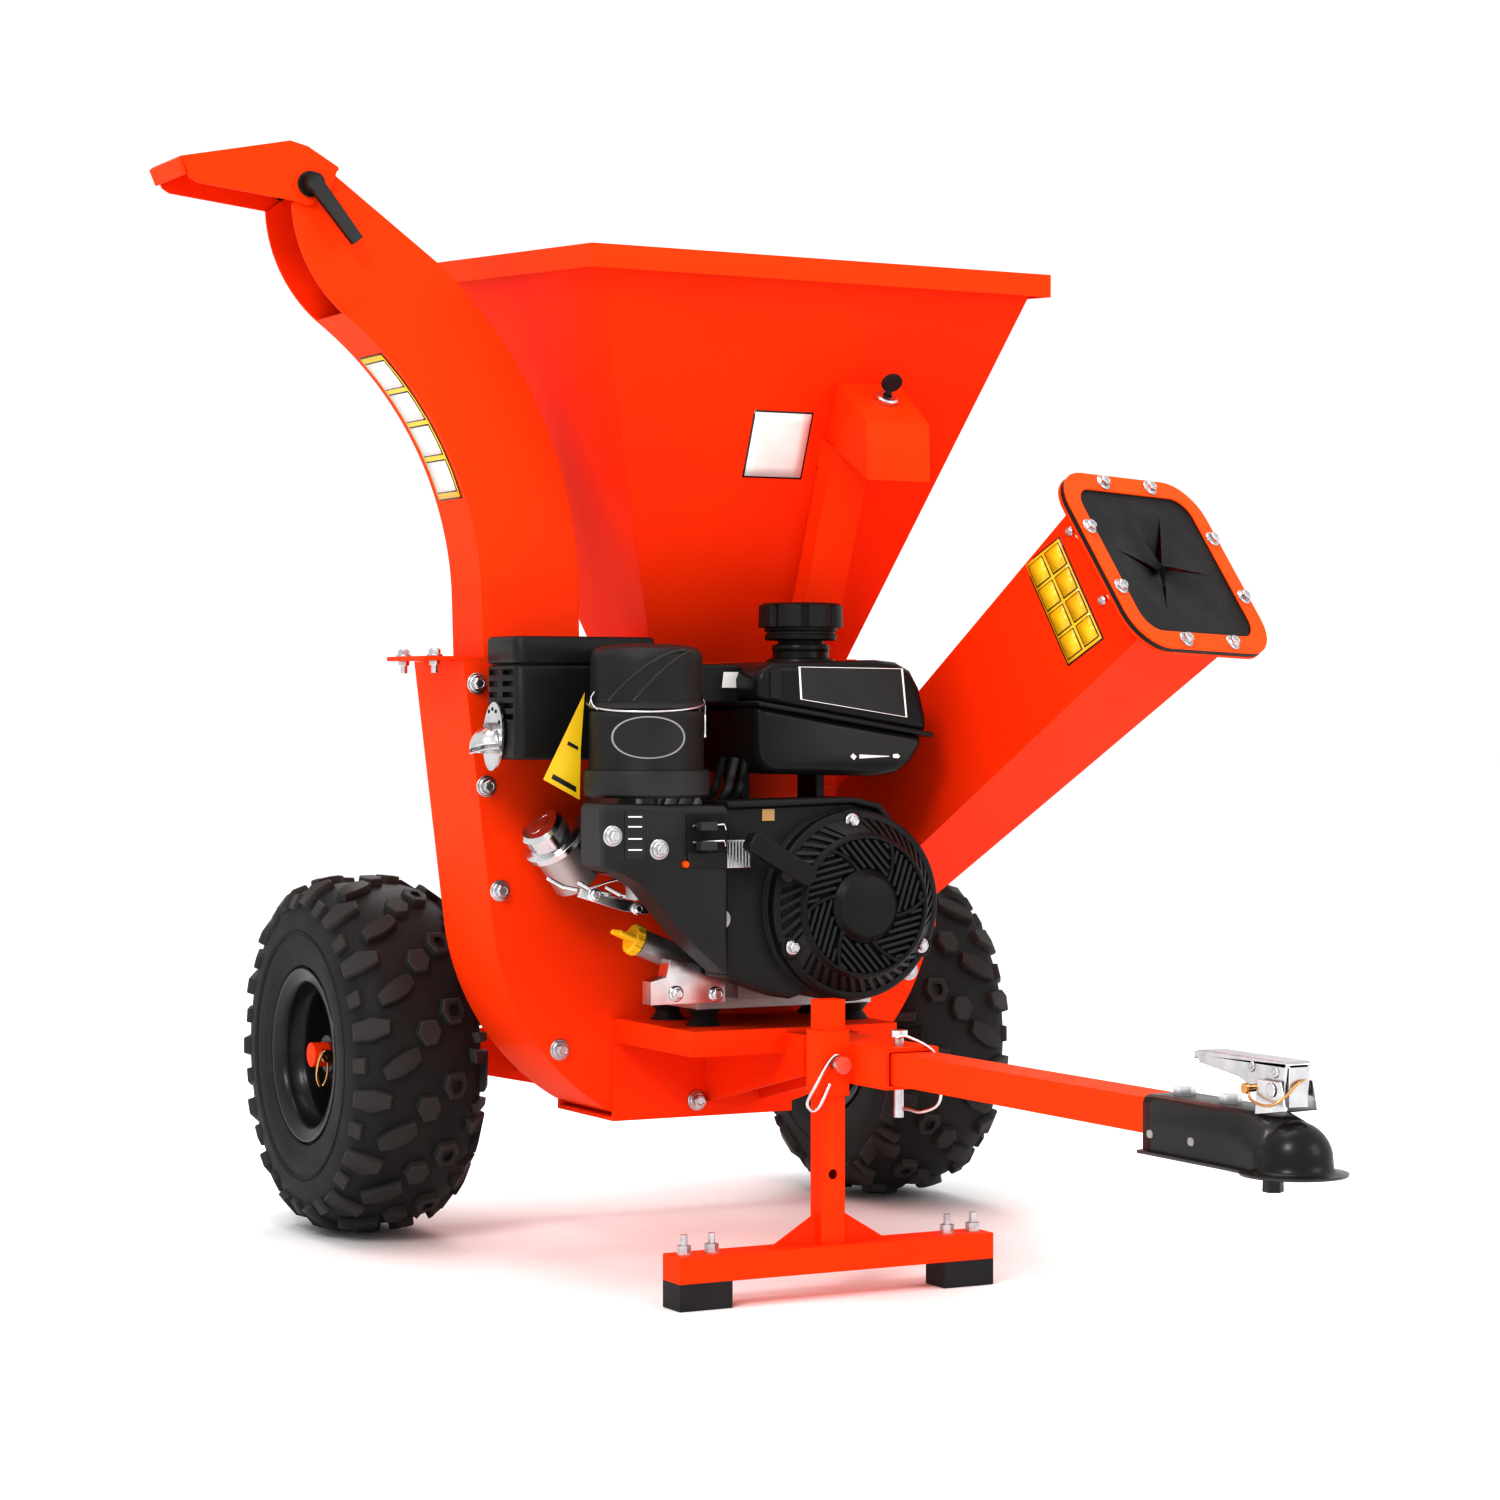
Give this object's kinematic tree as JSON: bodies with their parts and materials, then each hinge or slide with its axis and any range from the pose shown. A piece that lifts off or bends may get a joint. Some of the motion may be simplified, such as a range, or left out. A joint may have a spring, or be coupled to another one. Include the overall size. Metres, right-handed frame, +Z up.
{
  "type": "towable wood chipper shredder",
  "caption": "Petrol wood chipper on two knobbly wheels: tow tongue with ball coupler, top hopper, side feed chute with rubber curtain, curved discharge chute",
  "frame": {"origin": "middle of the machine's footprint, on the ground", "axes": "+X forward along the tow tongue, +Y left, +Z up"},
  "size_m": [1.438, 0.9904, 1.063],
  "materials": {
    "orange_paint": "orange powder coat",
    "black_paint": "black enamel",
    "tyre_rubber": "knobbly tyre rubber",
    "soft_rubber": "moulded rubber",
    "zinc": "zinc plated",
    "tool_steel": "hardened steel",
    "cast_alloy": "die cast, as cast",
    "black_plastic": "textured moulding",
    "tank_plastic": "satin moulding",
    "yellow_plastic": "yellow moulding",
    "cast_iron": "as cast",
    "filter_paper": "pleated paper"
  },
  "bodies": {
    "chassis": {"air_cleaner_body": "black_plastic", "air_cleaner_cover": "black_plastic", "air_filter": "filter_paper", "axle_beam": "orange_paint", "bedknife": "tool_steel", "blower_housing": "black_plastic", "carburetor": "cast_alloy", "coupler": "black_paint", "coupler_bolts": "zinc", "discharge_chute": "orange_paint", "engine_block": "cast_alloy", "engine_bolts": "zinc", "exhaust_deflector": "zinc", "feed_bolts": "zinc", "feed_chute": "orange_paint", "feed_curtain": "soft_rubber", "feed_ring": "orange_paint", "foot_studs": "zinc", "fuel_tank": "tank_plastic", "hopper": "orange_paint", "housing_bolts": "zinc", "housing_drum": "orange_paint", "housing_front": "orange_paint", "intake_cover": "black_plastic", "isolators": "soft_rubber", "main_frame": "orange_paint", "muffler": "tool_steel", "muffler_guard": "black_paint", "pin_keepers": "zinc", "rear_bearing": "cast_iron", "recoil_cover": "black_plastic", "rocker_cover": "zinc", "stand": "orange_paint", "stand_feet": "soft_rubber", "switch_box": "orange_paint", "switch_lock": "black_plastic", "tongue": "orange_paint"},
    "wheel_right": {"tyre_right": "tyre_rubber", "rim_right": "black_paint"},
    "wheel_left": {"tyre_left": "tyre_rubber", "rim_left": "black_paint"},
    "rotor": {"rotor_disc": "tool_steel", "chipper_knives": "tool_steel", "shredder_blades": "tool_steel", "crankshaft": "tool_steel", "flywheel": "cast_alloy"},
    "recoil_pulley": {"recoil_pulley": "black_plastic"},
    "pull_handle": {"pull_handle": "black_plastic"},
    "deflector_hood": {"deflector_hood": "orange_paint"},
    "clamp_lever_front": {"clamp_lever_front": "black_plastic"},
    "clamp_lever_rear": {"clamp_lever_rear": "black_plastic"},
    "stand_pin": {"stand_pin": "zinc"},
    "tongue_pin": {"tongue_pin": "zinc"},
    "coupler_latch": {"coupler_latch": "zinc"},
    "ignition_key": {"ignition_key": "black_plastic"},
    "choke_lever": {"choke_lever": "black_plastic"},
    "fuel_lever": {"fuel_lever": "black_plastic"},
    "fuel_cap": {"fuel_cap": "black_plastic"},
    "oil_cap": {"oil_cap": "yellow_plastic"},
    "air_cleaner_latch": {"air_cleaner_latch": "black_plastic"}
  },
  "joints": [
    {"name": "wheel_right_spin", "type": "hinge", "parent": "chassis", "child": "wheel_right", "pos_m": [-0.535, -0.19375, 0.184], "axis": [0, 1, 0], "continuous": true},
    {"name": "wheel_left_spin", "type": "hinge", "parent": "chassis", "child": "wheel_left", "pos_m": [-0.535, 0.42125, 0.184], "axis": [0, 1, 0], "continuous": true},
    {"name": "rotor_spin", "type": "hinge", "parent": "chassis", "child": "rotor", "pos_m": [-0.235, 0.09775, 0.354], "axis": [1, 0, 0], "continuous": true},
    {"name": "recoil_pulley_spin", "type": "hinge", "parent": "chassis", "child": "recoil_pulley", "pos_m": [-0.027, 0.09775, 0.354], "axis": [1, 0, 0], "range_deg": [0, 760]},
    {"name": "starter_pull", "type": "slide", "parent": "chassis", "child": "pull_handle", "axis": [0.5496, -0.4997, 0.6695], "range_m": [0, 0.6], "stiffness_N_per_m": 20, "springref_m": -0.3},
    {"name": "hood_tilt", "type": "hinge", "parent": "chassis", "child": "deflector_hood", "pos_m": [-0.271, -0.36725, 1.024], "axis": [1, 0, 0], "range_deg": [0, 45]},
    {"name": "clamp_lever_front_turn", "type": "hinge", "parent": "chassis", "child": "clamp_lever_front", "pos_m": [-0.231, -0.36725, 1.024], "axis": [1, 0, 0], "range_deg": [-90, 90]},
    {"name": "clamp_lever_rear_turn", "type": "hinge", "parent": "chassis", "child": "clamp_lever_rear", "pos_m": [-0.311, -0.36725, 1.024], "axis": [1, 0, 0], "range_deg": [-90, 90]},
    {"name": "stand_pin_pull", "type": "slide", "parent": "chassis", "child": "stand_pin", "axis": [1, 0, 0], "range_m": [0, 0.08]},
    {"name": "tongue_pin_pull", "type": "slide", "parent": "chassis", "child": "tongue_pin", "axis": [0, 0, 1], "range_m": [0, 0.09]},
    {"name": "coupler_latch_lift", "type": "hinge", "parent": "chassis", "child": "coupler_latch", "pos_m": [0.671, 0.07975, 0.249], "axis": [0, 1, 0], "range_deg": [0, 75]},
    {"name": "ignition_key_turn", "type": "hinge", "parent": "chassis", "child": "ignition_key", "pos_m": [-0.1026, 0.17575, 0.83694], "axis": [0.6049, 0, 0.7963], "range_deg": [0, 90]},
    {"name": "choke_slide", "type": "slide", "parent": "chassis", "child": "choke_lever", "axis": [0, 1, 0], "range_m": [-0.01, 0.018]},
    {"name": "fuel_slide", "type": "slide", "parent": "chassis", "child": "fuel_lever", "axis": [0, 1, 0], "range_m": [-0.01, 0.018]},
    {"name": "fuel_cap_turn", "type": "hinge", "parent": "chassis", "child": "fuel_cap", "pos_m": [-0.12, 0.09175, 0.61], "axis": [0, 0, 1], "continuous": true},
    {"name": "oil_cap_turn", "type": "hinge", "parent": "chassis", "child": "oil_cap", "pos_m": [-0.121, 0.01475, 0.2795], "axis": [0, -0.9243, 0.3818], "continuous": true},
    {"name": "air_cleaner_latch_open", "type": "hinge", "parent": "chassis", "child": "air_cleaner_latch", "pos_m": [-0.075, -0.03925, 0.513], "axis": [1, 0, 0], "range_deg": [-60, 0]}
  ],
  "couplings": [
    {"joint": "recoil_pulley_spin", "follows": "starter_pull", "rad_per_m": 21.7}
  ]
}
